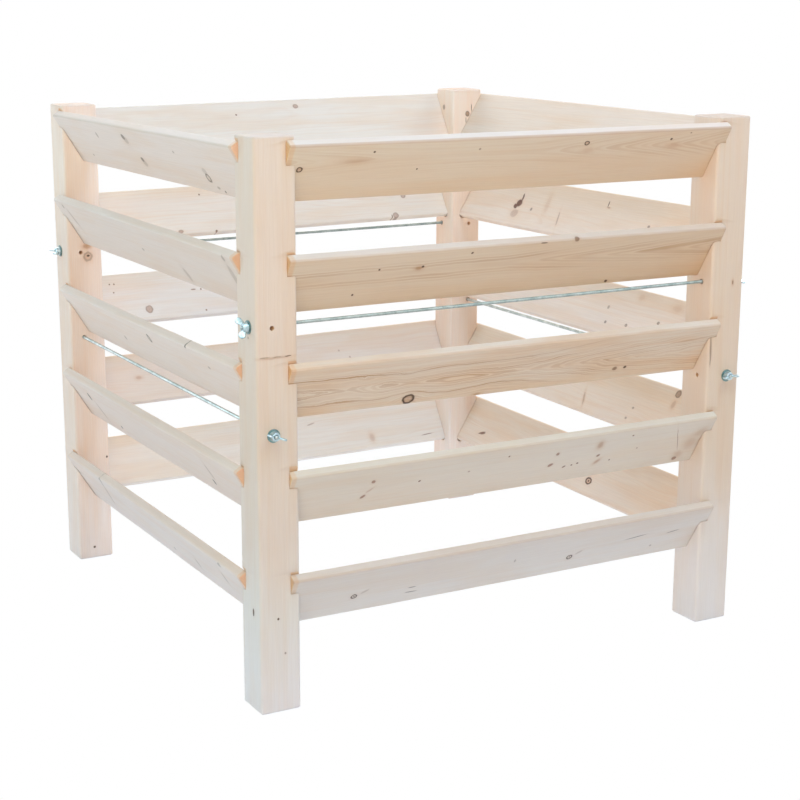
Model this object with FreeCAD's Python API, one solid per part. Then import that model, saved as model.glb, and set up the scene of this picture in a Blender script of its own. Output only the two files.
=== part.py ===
import FreeCAD, Part
import math
import os

from FreeCAD import Vector, Matrix

# Open-topped slatted compost bin. Millimetres, +Z up.
# Origin: on the ground, at the middle of the square that the four posts stand on.
# +X runs to the right along the front side, +Y runs from the front side to the back side.

# ---- driving dimensions -------------------------------------------------------------
WIDTH = 872.0            # over the posts' outer faces, left to right
DEPTH = 872.0            # over the posts' outer faces, front to back
HEIGHT = 847.0           # ground to the top of a post
POST = 65.0              # side of the square post
POST_EASE = 5.0          # rounding of a post's upright edges
POST_CHAMFER = 4.0       # bevel round the top and the foot of a post

LEVELS = 5               # slats on each side
PITCH = 156.5            # height from one slat to the next
TOP_LEVEL = 829.5        # height of the outer top corner of the highest slat
TILT = 31.5              # lean of a slat from upright, top edge outwards, degrees
SLAT_WIDTH = 96.0
SLAT_THICK = 16.0
SLAT_EASE = 3.5          # rounding of a slat's four long edges
OVERHANG = 14.5          # how far the outer top corner stands out past the post's outer face
SEAT = 15.2              # how far a slat's end goes into the post
GROOVE_DEPTH = 15.5      # depth of the slanted groove that takes the slat's end
GROOVE_FIT = 0.3         # clearance between slat and groove on each face

ROD_R = 3.0              # M6 threaded rod
ROD_END = 12.0           # how far a rod runs past the post's outer face
ROD_INSET = 25.0         # rod's distance in from the posts' outer faces
ROD_UPPER = 580.0        # height of the rods that run left to right
ROD_LOWER = 424.5        # height of the rods that run front to back
ROD_CHAMFER = 0.7
HOLE_R = 3.5             # drilled hole in a post
HOLE_RISE = 0.45         # the rod lies low in its hole by this much
HOLE_STOP = 2.5          # wood left ahead of a spare hole that stops short

WASHER_R = 10.0
WASHER_BORE_R = 3.08
WASHER_THICK = 1.6

NUT_BORE_R = 3.05
NUT_BASE_R = 7.8         # hub radius at the washer
NUT_TOP_R = 6.3          # hub radius at its outer end
NUT_HEIGHT = 8.5         # hub height
WING_LOBE_X = 10.9       # centre of a wing's rounded lobe, out from the axis
WING_LOBE_Z = 10.9       # and along the axis
WING_LOBE_R = 5.1
WING_THICK = 2.8

# direction of each wing nut's wings at rest, in degrees about its rod, as they were left
WING_TURN = {
    "front_rod_left": 59.0, "front_rod_right": 24.0,
    "back_rod_left": 10.0, "back_rod_right": 71.0,
    "left_rod_front": -20.0, "left_rod_back": 38.0,
    "right_rod_front": 2.0, "right_rod_back": -47.0,
}

# ---- helpers ------------------------------------------------------------------------
RAD = math.radians(TILT)
SIN, COS = math.sin(RAD), math.cos(RAD)


def place(side, along, out, z):
    """A point by side: along the side, outwards from the posts' outer face, and up."""
    if side == "front":
        return Vector(along, -DEPTH / 2 - out, z)
    if side == "back":
        return Vector(along, DEPTH / 2 + out, z)
    if side == "left":
        return Vector(-WIDTH / 2 - out, along, z)
    return Vector(WIDTH / 2 + out, along, z)


def run(side, length):
    """The vector that runs a distance along a side."""
    return Vector(length, 0, 0) if side in ("front", "back") else Vector(0, length, 0)


def on_slat(u, v, level):
    """(outwards, up) of a point u down the slat's width and v through its thickness.

    u = 0 is the top edge and v = 0 the outer face, so (0, 0) is the outer top corner.
    """
    top = TOP_LEVEL - PITCH * level
    return (OVERHANG - u * SIN - v * COS, top - u * COS + v * SIN)


def closed(points_in_order):
    """A face from a list of line and arc pieces, each a list of two or three points."""
    edges = []
    for piece in points_in_order:
        if len(piece) == 2:
            edges.append(Part.LineSegment(*piece).toShape())
        else:
            edges.append(Part.Arc(*piece).toShape())
    return Part.Face(Part.Wire(edges))


def slat(side, level):
    """A planed board with four eased long edges, at its place between two posts."""
    half = (WIDTH if side in ("front", "back") else DEPTH) / 2 - POST + SEAT
    w, t, r = SLAT_WIDTH, SLAT_THICK, SLAT_EASE
    k = r * (1 - math.sqrt(0.5))

    def p(u, v):
        return place(side, -half, *on_slat(u, v, level))

    face = closed([
        [p(r, 0), p(w - r, 0)], [p(w - r, 0), p(w - k, k), p(w, r)],
        [p(w, r), p(w, t - r)], [p(w, t - r), p(w - k, t - k), p(w - r, t)],
        [p(w - r, t), p(r, t)], [p(r, t), p(k, t - k), p(0, t - r)],
        [p(0, t - r), p(0, r)], [p(0, r), p(k, k), p(r, 0)],
    ])
    return face.extrude(run(side, 2 * half))


def groove(side, level, start, length):
    """What a cutter takes out for one slat's end: open at the outer face, round at the foot."""
    c = GROOVE_FIT
    t = SLAT_THICK
    r = t / 2 + c
    end = SLAT_WIDTH - SLAT_EASE
    out = -40.0

    def p(u, v):
        return place(side, start, *on_slat(u, v, level))

    face = closed([
        [p(out, -c), p(end, -c)],
        [p(end, -c), p(end + r, t / 2), p(end, t + c)],
        [p(end, t + c), p(out, t + c)],
        [p(out, t + c), p(out, -c)],
    ])
    return face.extrude(run(side, length))


def post(sx, sy):
    """A square post at the corner with these signs, grooved on the two faces that take slats."""
    x0 = min(sx * WIDTH / 2, sx * (WIDTH / 2 - POST))
    y0 = min(sy * DEPTH / 2, sy * (DEPTH / 2 - POST))
    body = Part.makeBox(POST, POST, HEIGHT, Vector(x0, y0, 0))
    upright = [e for e in body.Edges
               if abs(e.Vertexes[0].Z - e.Vertexes[1].Z) > HEIGHT / 2]
    body = body.makeFillet(POST_EASE, upright)
    rims = [e for e in body.Edges
            if abs(e.BoundBox.ZMin - e.BoundBox.ZMax) < 1e-6]
    body = body.makeChamfer(POST_CHAMFER, rims)

    # grooves for the slats that run left to right, in the face that looks along X
    tools = []
    side = "front" if sy < 0 else "back"
    inner = sx * (WIDTH / 2 - POST)
    for level in range(LEVELS):
        tools.append(groove(side, level, inner - sx, sx * (GROOVE_DEPTH + 1.0)))
    # grooves for the slats that run front to back, in the face that looks along Y
    side = "left" if sx < 0 else "right"
    inner = sy * (DEPTH / 2 - POST)
    for level in range(LEVELS):
        tools.append(groove(side, level, inner - sy, sy * (GROOVE_DEPTH + 1.0)))

    # the two rods' holes go right through
    hx, hy = sx * (WIDTH / 2 - ROD_INSET), sy * (DEPTH / 2 - ROD_INSET)
    up, low = ROD_UPPER + HOLE_RISE, ROD_LOWER + HOLE_RISE
    out_x, out_y = sx * (WIDTH / 2 + 1), sy * (DEPTH / 2 + 1)
    tools.append(Part.makeCylinder(HOLE_R, POST + 2, Vector(out_x, hy, up), Vector(-sx, 0, 0)))
    tools.append(Part.makeCylinder(HOLE_R, POST + 2, Vector(hx, out_y, low), Vector(0, -sy, 0)))
    # a post fits any corner, so each height also has the other direction's hole, unused here;
    # it is drilled from the grooved face and stops short of the outer one, but for the
    # front left post's upper hole, which comes out at the front
    through = sx < 0 and sy < 0
    deep = POST + 2 if through else POST + 1 - HOLE_STOP
    in_x, in_y = sx * (WIDTH / 2 - POST - 1), sy * (DEPTH / 2 - POST - 1)
    tools.append(Part.makeCylinder(HOLE_R, deep, Vector(hx, in_y, up), Vector(0, sy, 0)))
    tools.append(Part.makeCylinder(HOLE_R, POST + 1 - HOLE_STOP,
                                   Vector(in_x, hy, low), Vector(sx, 0, 0)))
    return body.cut(tools)


def rod(kind, sign):
    """A threaded rod, drawn as its outer cylinder with bevelled ends."""
    if kind == "x":
        half = WIDTH / 2 + ROD_END
        start = Vector(-half, sign * (DEPTH / 2 - ROD_INSET), ROD_UPPER)
        along = Vector(1, 0, 0)
    else:
        half = DEPTH / 2 + ROD_END
        start = Vector(sign * (WIDTH / 2 - ROD_INSET), -half, ROD_LOWER)
        along = Vector(0, 1, 0)
    body = Part.makeCylinder(ROD_R, 2 * half, start, along)
    rims = [e for e in body.Edges if isinstance(e.Curve, Part.Circle)]
    return body.makeChamfer(ROD_CHAMFER, rims)


def stand(local, origin, outward, turn):
    """Put a shape that was made along +Z on a rod's end, turned about the rod."""
    ez = Vector(*outward)
    level = Vector(0, 1, 0) if abs(ez.x) > 0.5 else Vector(1, 0, 0)
    a = math.radians(turn)
    ex = level * math.cos(a) + Vector(0, 0, 1) * math.sin(a)
    ey = ez.cross(ex)
    m = Matrix(ex.x, ey.x, ez.x, origin.x,
               ex.y, ey.y, ez.y, origin.y,
               ex.z, ey.z, ez.z, origin.z,
               0, 0, 0, 1)
    moved = local.copy()
    moved.transformShape(m, False)
    return moved


def washer():
    disc = Part.makeCylinder(WASHER_R, WASHER_THICK)
    disc = disc.cut(Part.makeCylinder(WASHER_BORE_R, WASHER_THICK + 2, Vector(0, 0, -1)))
    rims = [e for e in disc.Edges
            if isinstance(e.Curve, Part.Circle) and e.Curve.Radius > WASHER_R - 0.1
            and e.BoundBox.ZMin > WASHER_THICK - 0.1]
    return disc.makeFillet(0.35, rims)


def touch(px, pz, cx, cz, r, sign):
    """Where the line from a point touches a circle, on the side given by sign."""
    dx, dz = cx - px, cz - pz
    d = math.hypot(dx, dz)
    a = math.atan2(dz, dx) + sign * math.asin(r / d)
    reach = math.sqrt(d * d - r * r)
    return px + reach * math.cos(a), pz + reach * math.sin(a)


def wing_nut():
    """A tapered hub with two rounded wings that rise outwards."""
    hub = Part.makeCone(NUT_BASE_R, NUT_TOP_R, NUT_HEIGHT)
    cx, cz, r = WING_LOBE_X, WING_LOBE_Z, WING_LOBE_R
    foot = (4.2, 1.6)
    neck = (4.2, NUT_HEIGHT - 0.3)
    a = touch(*foot, cx, cz, r, -1)
    b = touch(*neck, cx, cz, r, 1)
    far = (cx + r * math.cos(math.radians(35)), cz + r * math.sin(math.radians(35)))
    for sign in (1, -1):
        def p(q):
            return Vector(sign * q[0], -WING_THICK / 2, q[1])
        face = closed([[p(foot), p(a)], [p(a), p(far), p(b)], [p(b), p(neck)],
                       [p(neck), p(foot)]])
        wing = face.extrude(Vector(0, WING_THICK, 0))
        hub = hub.fuse(wing)
    bore = Part.makeCylinder(NUT_BORE_R, NUT_HEIGHT + 4, Vector(0, 0, -1))
    return hub.removeSplitter().cut(bore)


# ---- the pieces ---------------------------------------------------------------------
pieces = {
    "post_front_left": post(-1, -1),
    "post_front_right": post(1, -1),
    "post_back_left": post(-1, 1),
    "post_back_right": post(1, 1),
    "rod_front": rod("x", -1),
    "rod_back": rod("x", 1),
    "rod_left": rod("y", -1),
    "rod_right": rod("y", 1),
}
for side in ("front", "back", "left", "right"):
    for level in range(LEVELS):
        pieces["%s_slat_%d" % (side, level + 1)] = slat(side, level)

ends = {}
for name, sign in (("front", -1), ("back", 1)):
    y = sign * (DEPTH / 2 - ROD_INSET)
    ends[name + "_rod_left"] = (Vector(-WIDTH / 2, y, ROD_UPPER), (-1, 0, 0))
    ends[name + "_rod_right"] = (Vector(WIDTH / 2, y, ROD_UPPER), (1, 0, 0))
for name, sign in (("left", -1), ("right", 1)):
    x = sign * (WIDTH / 2 - ROD_INSET)
    ends[name + "_rod_front"] = (Vector(x, -DEPTH / 2, ROD_LOWER), (0, -1, 0))
    ends[name + "_rod_back"] = (Vector(x, DEPTH / 2, ROD_LOWER), (0, 1, 0))

flat, winged = washer(), wing_nut()
for end, (face_point, outward) in ends.items():
    pieces["washer_" + end] = stand(flat, face_point, outward, 0.0)
    pieces["wing_nut_" + end] = stand(winged, face_point + Vector(*outward) * WASHER_THICK,
                                      outward, WING_TURN[end])

os.makedirs("parts", exist_ok=True)
for name, shape in sorted(pieces.items()):
    solid = shape.Solids[0] if len(shape.Solids) == 1 else None
    if solid is None or not solid.isValid():
        raise RuntimeError("%s isn't one valid solid" % name)
    if solid.Volume < 0:
        solid.reverse()
    solid.exportStep("parts/%s.step" % name)
    b = solid.BoundBox
    print("%-26s %9.1f mm3  x %8.2f %8.2f  y %8.2f %8.2f  z %8.2f %8.2f" % (
        name, solid.Volume, b.XMin, b.XMax, b.YMin, b.YMax, b.ZMin, b.ZMax))
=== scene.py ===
import math
import random

import bmesh
import bpy
import numpy as np
from mathutils import Matrix, Vector


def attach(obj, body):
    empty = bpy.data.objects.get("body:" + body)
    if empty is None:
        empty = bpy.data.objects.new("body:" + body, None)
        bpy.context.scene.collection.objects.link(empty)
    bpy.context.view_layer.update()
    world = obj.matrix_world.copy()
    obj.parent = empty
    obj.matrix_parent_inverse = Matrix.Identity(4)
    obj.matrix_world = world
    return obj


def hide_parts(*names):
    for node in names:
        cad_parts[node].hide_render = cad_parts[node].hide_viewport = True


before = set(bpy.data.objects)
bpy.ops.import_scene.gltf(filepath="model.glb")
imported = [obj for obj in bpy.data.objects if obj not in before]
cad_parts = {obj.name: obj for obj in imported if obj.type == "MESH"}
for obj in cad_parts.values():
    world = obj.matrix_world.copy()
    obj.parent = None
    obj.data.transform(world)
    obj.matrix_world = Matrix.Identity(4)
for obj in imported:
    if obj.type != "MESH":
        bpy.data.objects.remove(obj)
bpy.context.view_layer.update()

MM = 0.001

# ---- the sizes the frame was built to, in millimetres --------------------------------
WIDTH = DEPTH = 872.0
HEIGHT = 847.0
POST = 65.0
PITCH = 156.5
TOP_LEVEL = 829.5
TILT = math.radians(31.5)
SIN, COS = math.sin(TILT), math.cos(TILT)
SLAT_W, SLAT_T = 96.0, 16.0
FULL = {"front_4": 99.5}  # the slats show a little wider than they were drawn: 98 unless given here
SLAT_HALF = 386.2
OVERHANG = 14.5
ROD_INSET = 25.0
ROD_UPPER, ROD_LOWER = 580.0, 424.5
SIDES = ("front", "back", "left", "right")


def place(side, along, out, z):
    """Millimetres in the row frame from a place along a side, outwards from the posts' face, and up."""
    if side == "front":
        return (along, -DEPTH / 2 - out, z)
    if side == "back":
        return (along, DEPTH / 2 + out, z)
    if side == "left":
        return (-WIDTH / 2 - out, along, z)
    return (WIDTH / 2 + out, along, z)


def on_slat(u, v, level):
    top = TOP_LEVEL - PITCH * level
    return (OVERHANG - u * SIN - v * COS, top - u * COS + v * SIN)


# How each slat sits in the photograph, in millimetres: how far up its grooves at its two
# ends, and how far it is let in at its first end. No two of them sit quite alike.
SEAT = {
    "front_1": (4.1, -0.5, 1.0), "front_2": (0.9, -3.5, 2.3), "front_3": (1.7, -3.9, 3.5), "front_4": (-2.0, -1.4, 4.4), "front_5": (-1.0, 4.0, 1.9),
    "left_1": (0.6, -4.8, 2.6), "left_2": (2.7, 4.9, 2.2), "left_3": (-0.4, -1.8, 3.3), "left_4": (1.2, -0.1, 1.7), "left_5": (-3.1, -3.1, 1.5),
    "back_1": (-5.7, -0.2, 0.0), "back_2": (-3.6, 2.9, 0.0), "back_3": (-1.2, 1.1, 0.0), "back_4": (1.0, 6.0, 0.0), "back_5": (1.0, 4.6, 0.0),
    "right_1": (-1.9, 0.9, 0.0), "right_2": (6.0, 1.6, 0.0), "right_3": (-2.4, -0.1, 0.0), "right_4": (-1.6, 3.7, 0.0), "right_5": (-1.1, 4.6, 0.0),
}


def seat(side, level, s):
    """How far the slat is lifted, and pushed in, at a place along it."""
    first, last, push = SEAT["%s_%d" % (side, level + 1)]
    f = (s + SLAT_HALF) / (2 * SLAT_HALF)
    return first + (last - first) * f, push * (1 - f)


# ---- small mesh helpers --------------------------------------------------------------
def mesh_object(name, verts, faces, materials=()):
    me = bpy.data.meshes.new(name)
    me.from_pydata([tuple(float(c) for c in v) for v in verts], [], faces)
    me.validate(verbose=False)
    ob = bpy.data.objects.new(name, me)
    bpy.context.scene.collection.objects.link(ob)
    for m in materials:
        me.materials.append(m)
    return ob


def outward(ob):
    bm = bmesh.new()
    bm.from_mesh(ob.data)
    bmesh.ops.recalc_face_normals(bm, faces=bm.faces)
    bm.to_mesh(ob.data)
    bm.free()


def apply_modifiers(ob):
    dg = bpy.context.evaluated_depsgraph_get()
    dg.update()
    ev = ob.evaluated_get(dg)
    me = bpy.data.meshes.new_from_object(ev, preserve_all_data_layers=True, depsgraph=dg)
    old = ob.data
    ob.modifiers.clear()
    ob.data = me
    bpy.data.meshes.remove(old)


def sharp_by_angle(me, degrees):
    """Smooth shading, with edges over this angle kept sharp."""
    bm = bmesh.new()
    bm.from_mesh(me)
    limit = math.radians(degrees)
    for f in bm.faces:
        f.smooth = True
    for e in bm.edges:
        e.smooth = len(e.link_faces) == 2 and e.calc_face_angle(0.0) < limit
    bm.to_mesh(me)
    bm.free()


def weighted(ob):
    m = ob.modifiers.new("normals", "WEIGHTED_NORMAL")
    m.keep_sharp = True
    m.weight = 60
    apply_modifiers(ob)


def point_vectors(me, name, values):
    a = me.attributes.get(name) or me.attributes.new(name, "FLOAT_VECTOR", "POINT")
    a.data.foreach_set("vector", np.asarray(values, np.float32).ravel())


def face_floats(me, name, values):
    a = me.attributes.get(name) or me.attributes.new(name, "FLOAT", "FACE")
    a.data.foreach_set("value", np.asarray(values, np.float32).ravel())


def coords(me):
    co = np.zeros(len(me.vertices) * 3, np.float32)
    me.vertices.foreach_get("co", co)
    return co.reshape(-1, 3).astype(float)


# ---- shader building -----------------------------------------------------------------
class Net:
    """A node tree written as expressions: arguments are sockets, numbers or tuples."""

    def __init__(self, tree):
        self.tree = tree

    def node(self, kind, **props):
        n = self.tree.nodes.new(kind)
        for k, v in props.items():
            setattr(n, k, v)
        return n

    def feed(self, socket, value):
        if isinstance(value, bpy.types.NodeSocket):
            self.tree.links.new(value, socket)
        elif isinstance(value, tuple) and socket.type == "RGBA":
            socket.default_value = (*value[:3], 1.0)
        else:
            socket.default_value = value

    def math(self, op, *args, clamp=False):
        n = self.node("ShaderNodeMath", operation=op, use_clamp=clamp)
        for i, v in enumerate(args):
            self.feed(n.inputs[i], v)
        return n.outputs[0]

    def vec(self, op, *args):
        n = self.node("ShaderNodeVectorMath", operation=op)
        for i, v in enumerate(args):
            self.feed(n.inputs[3 if op == "SCALE" and i == 1 else i], v)
        return n.outputs[1 if op in ("LENGTH", "DISTANCE", "DOT_PRODUCT") else 0]

    def split(self, v):
        n = self.node("ShaderNodeSeparateXYZ")
        self.feed(n.inputs[0], v)
        return n.outputs[0], n.outputs[1], n.outputs[2]

    def join(self, x, y, z):
        n = self.node("ShaderNodeCombineXYZ")
        for i, v in enumerate((x, y, z)):
            self.feed(n.inputs[i], v)
        return n.outputs[0]

    def noise(self, v, scale=1.0, detail=2.0, rough=0.5, colour=False, distortion=0.0):
        n = self.node("ShaderNodeTexNoise", noise_dimensions="3D")
        self.feed(n.inputs["Vector"], v)
        n.inputs["Scale"].default_value = scale
        n.inputs["Detail"].default_value = detail
        n.inputs["Roughness"].default_value = rough
        n.inputs["Distortion"].default_value = distortion
        return n.outputs["Color" if colour else "Fac"]

    def smooth(self, v, lo, hi, to_lo=0.0, to_hi=1.0):
        n = self.node("ShaderNodeMapRange", interpolation_type="SMOOTHSTEP", clamp=True)
        for i, x in enumerate((v, lo, hi, to_lo, to_hi)):
            self.feed(n.inputs[i], x)
        return n.outputs[0]

    def line(self, v, lo, hi, to_lo=0.0, to_hi=1.0):
        n = self.node("ShaderNodeMapRange", interpolation_type="LINEAR", clamp=True)
        for i, x in enumerate((v, lo, hi, to_lo, to_hi)):
            self.feed(n.inputs[i], x)
        return n.outputs[0]

    def mix(self, fac, a, b, blend="MIX"):
        n = self.node("ShaderNodeMix", data_type="RGBA", blend_type=blend)
        self.feed(n.inputs[0], fac)
        self.feed(n.inputs[6], a)
        self.feed(n.inputs[7], b)
        return n.outputs[2]

    def attribute(self, name, out="Vector"):
        n = self.node("ShaderNodeAttribute", attribute_type="GEOMETRY", attribute_name=name)
        return n.outputs[out]

    def group(self, tree, **values):
        n = self.node("ShaderNodeGroup", node_tree=tree)
        for k, v in values.items():
            self.feed(n.inputs[k], v)
        return n


def knot_group():
    """One knot: an oval core that is dark round its edge, with a stain about it, and the
    push it gives to the growth rings that grow round it."""
    tree = bpy.data.node_groups.new("knot", "ShaderNodeTree")
    face = tree.interface
    for name, kind in (("Place", "Vector"), ("Centre", "Vector"), ("Radii", "Vector"), ("Turn", "Float"),
                       ("Ragged", "Float"), ("Weights", "Vector"), ("Stain", "Float"), ("Push", "Float"),
                       ("Marks", "Vector"), ("Rings", "Float")):
        face.new_socket(name, in_out="INPUT", socket_type="NodeSocket" + kind)
    face.new_socket("Marks", in_out="OUTPUT", socket_type="NodeSocketVector")
    face.new_socket("Rings", in_out="OUTPUT", socket_type="NodeSocketFloat")
    net = Net(tree)
    i = net.node("NodeGroupInput").outputs
    o = net.node("NodeGroupOutput").inputs
    turn = net.node("ShaderNodeVectorRotate", rotation_type="Z_AXIS")
    net.feed(turn.inputs["Vector"], net.vec("SUBTRACT", i["Place"], i["Centre"]))
    net.feed(turn.inputs["Angle"], i["Turn"])
    q = net.vec("DIVIDE", turn.outputs[0], i["Radii"])
    far = net.math("MULTIPLY", net.vec("LENGTH", q), net.math("MULTIPLY_ADD", i["Ragged"], 0.55, 0.93))
    core = net.smooth(far, 0.8, 1.04, 1.0, 0.0)
    rim = net.math("MULTIPLY", net.smooth(far, 0.52, 0.84), net.smooth(far, 0.98, 1.24, 1.0, 0.0))
    inner = net.math("MULTIPLY_ADD", net.math("SINE", net.math("MULTIPLY", far, 15.0)), 0.13, 0.87)
    ring_w, solid_w, brown_w = net.split(i["Weights"])
    dark = net.math("MAXIMUM", net.math("MULTIPLY", rim, ring_w), net.math("MULTIPLY", core, solid_w))
    brown = net.math("MULTIPLY", net.math("MULTIPLY", core, inner), brown_w)
    square = net.math("MULTIPLY", far, far)
    stain = net.math("MULTIPLY", net.math("EXPONENT", net.math("MULTIPLY", square, -0.55)), i["Stain"])
    net.feed(o["Marks"], net.vec("MAXIMUM", i["Marks"], net.join(dark, brown, stain)))
    swell = net.math("MULTIPLY", net.math("EXPONENT", net.math("MULTIPLY", square, -0.15)), i["Push"])
    net.feed(o["Rings"], net.math("ADD", i["Rings"], swell))
    return tree


KNOT = knot_group()
# weights of (dark rim, solid dark, brown core), stain about it, push on the rings
KINDS = {
    "ring": (0.95, 0.0, 0.45, 0.35, 1.0),
    "loose": (0.9, 0.12, 0.75, 0.3, 1.0),
    "dark": (0.92, 0.72, 0.9, 0.35, 1.0),
    "pin": (0.5, 0.88, 0.6, 0.22, 0.5),
    "faint": (0.25, 0.3, 0.4, 0.2, 0.4),
    "brown": (0.3, 0.35, 0.8, 0.45, 0.6),
    "round": (0.55, 0.18, 0.8, 0.25, 0.8),
    "resin": (0.0, 0.0, 0.3, 0.85, 0.4),
    "dash": (0.3, 0.62, 0.7, 0.2, 0.0),
    "grey": (0.0, 0.16, 0.2, 0.7, 0.0),
    "seam": (0.0, 0.3, 0.55, 0.25, 0.0),
    "swirl": (0.0, 0.0, 0.0, 0.0, 1.0),
    "cloud": (0.0, 0.0, 0.05, 0.5, 0.0),
    "hole": (0.55, 0.0, 0.2, 0.25, 0.0),
    "halo": (0.34, 0.0, 0.16, 0.55, 0.8),
    "red": (0.3, 0.62, 0.95, 0.6, 0.6),
}


def tint(c, k):
    return tuple(min(0.96, a * b) for a, b in zip(c, k))


def bsdf(name):
    m = bpy.data.materials.new(name)
    m.use_nodes = True
    tree = m.node_tree
    tree.nodes.clear()
    net = Net(tree)
    b = net.node("ShaderNodeBsdfPrincipled")
    out = net.node("ShaderNodeOutputMaterial")
    tree.links.new(b.outputs[0], out.inputs[0])
    return m, net, b


def spruce(name, seed, base, pith, ring=2.6, slope=0.0, lean=0.0, curve=0.0, middle=0.0, onward=False, fade=0.0, soft=0.42, ripple=0.0, vary=0.6, wander=6.0, contrast=0.5,
           dark=(0.84, 0.73, 0.62), warm=(1.0, 0.9, 0.8), patch=0.35, fibre=0.10, knots=(),
           end=(0.93, 0.74, 0.55), cut=(1.0, 0.88, 0.74), tone=None, flow=(1.0, 1.0, 1.0), low=(1.0, 1.0, 1.0),
           edge=(1.0, 1.0, 1.0), stain=(0.74, 0.53, 0.36), rim=(0.085, 0.05, 0.032), heart=(0.40, 0.25, 0.155), groove_shade=None, glow=None, arris=None):
    """Planed spruce. Its place in the tree is given in millimetres: the pith runs along the
    piece at `pith` (across, through), drifting across it by `lean`, the rings are `ring` apart,
    and the stem narrows by `slope` and `curve` along the piece, which is what draws the arches on a flat face."""
    m, net, b = bsdf(name)
    at = net.attribute("wood")
    end_at = net.attribute("end", "Fac")
    off = (seed * 37.7 % 911.0, seed * 91.3 % 773.0, seed * 53.9 % 853.0)

    def here(x, y, z, k=0.0):
        return net.vec("ADD", net.vec("MULTIPLY", at, (1 / x, 1 / y, 1 / z)), tuple(o + k for o in off))

    sway = net.vec("SUBTRACT", net.noise(here(210, 70, 70), detail=1.5, colour=True), (0.5, 0.5, 0.5))
    mid = net.vec("SUBTRACT", net.noise(here(62, 21, 21, 5.1), detail=2.0, colour=True), (0.5, 0.5, 0.5))
    bent = net.vec("ADD", at, net.vec("ADD", net.vec("MULTIPLY", sway, (0.0, wander * 2.4, wander * 2.4)),
                                      net.vec("MULTIPLY", mid, (0.0, wander * 0.42, wander * 0.42))))
    if ripple:
        small = net.vec("SUBTRACT", net.noise(here(30, 13, 13, 6.3), detail=1.0, colour=True), (0.5, 0.5, 0.5))
        bent = net.vec("ADD", bent, net.vec("MULTIPLY", small, (0.0, ripple, ripple)))
    s, w, t = net.split(bent)
    ragged = net.noise(here(5.5, 5.5, 5.5, 2.2), detail=2.5)
    marks, rings = (0.0, 0.0, 0.0), 0.0
    near = net.vec("ADD", at, net.vec("MULTIPLY", mid, (3.0, 3.0, 0.0)))
    for k in knots:
        kind = KINDS[k["kind"]]
        r = k["r"]
        g = net.group(KNOT, Place=near, Centre=k["c"], Radii=r, Turn=math.radians(k.get("turn", 0.0)),
                      Ragged=ragged, Weights=kind[:3], Stain=kind[3] * k.get("stain", 1.0),
                      Push=kind[4] * k.get("push", 0.42 * min(r[0], r[1])), Marks=marks, Rings=rings)
        marks, rings = g.outputs["Marks"], g.outputs["Rings"]

    dw = net.math("SUBTRACT", w, pith[0])
    if lean:
        dw = net.math("MULTIPLY_ADD", s, -lean, dw)
    dt = net.math("SUBTRACT", t, pith[1])
    r = net.vec("LENGTH", net.join(0.0, dw, dt))
    r = net.math("ADD", r, rings)
    from_mid = net.math("SUBTRACT", s, middle)
    if onward:
        from_mid = net.math("MAXIMUM", from_mid, 0.0)
    if curve:
        r = net.math("ADD", r, net.math("MULTIPLY", net.math("MULTIPLY", from_mid, from_mid), curve))
    r = net.math("MULTIPLY_ADD", from_mid, slope, r)
    uneven = net.noise(net.vec("SCALE", net.join(r, seed * 1.7, 0.5), 0.11), detail=1.0)
    phase = net.math("ADD", net.math("DIVIDE", r, ring), net.math("MULTIPLY", uneven, 2.2))
    part = net.math("FRACT", phase)
    rid = net.math("FLOOR", phase)
    each = net.node("ShaderNodeTexWhiteNoise", noise_dimensions="1D")
    net.feed(each.inputs["W"], net.math("ADD", rid, seed * 3.1))
    late = net.math("MULTIPLY", net.smooth(part, soft, soft + 0.45), net.smooth(part, 0.86, 1.0, 1.0, 0.0))
    drawn = net.math("MULTIPLY", late, net.math("MULTIPLY_ADD", each.outputs["Value"], vary, 1.0 - vary))
    broken = net.smooth(net.noise(here(120, 16, 16, 8.4), detail=2.0), 0.34, 0.66, 0.45, 1.0)
    drawn = net.math("MULTIPLY", drawn, broken)
    if fade:
        drawn = net.math("MULTIPLY", drawn, net.smooth(net.math("ABSOLUTE", dw), fade * 0.4, fade, 1.0, 0.15))
    # painted highlight on the top edge strip: the grain is muted there, washed out by the light from above
    if edge != (1.0, 1.0, 1.0):
        drawn = net.math("MULTIPLY", drawn, net.smooth(net.split(at)[1], -46.6, -44.4, 0.3, 1.0))

    strand = net.noise(here(60, 1.7, 1.7, 11.0), detail=3.0, rough=0.6)
    fine = net.noise(here(17, 0.55, 0.55, 13.0), detail=2.0, rough=0.6)
    broad = net.noise(here(190, 30, 30, 17.0), detail=2.0)
    streak = net.noise(here(330, 7.5, 7.5, 19.0), detail=2.0, rough=0.55)

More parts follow.
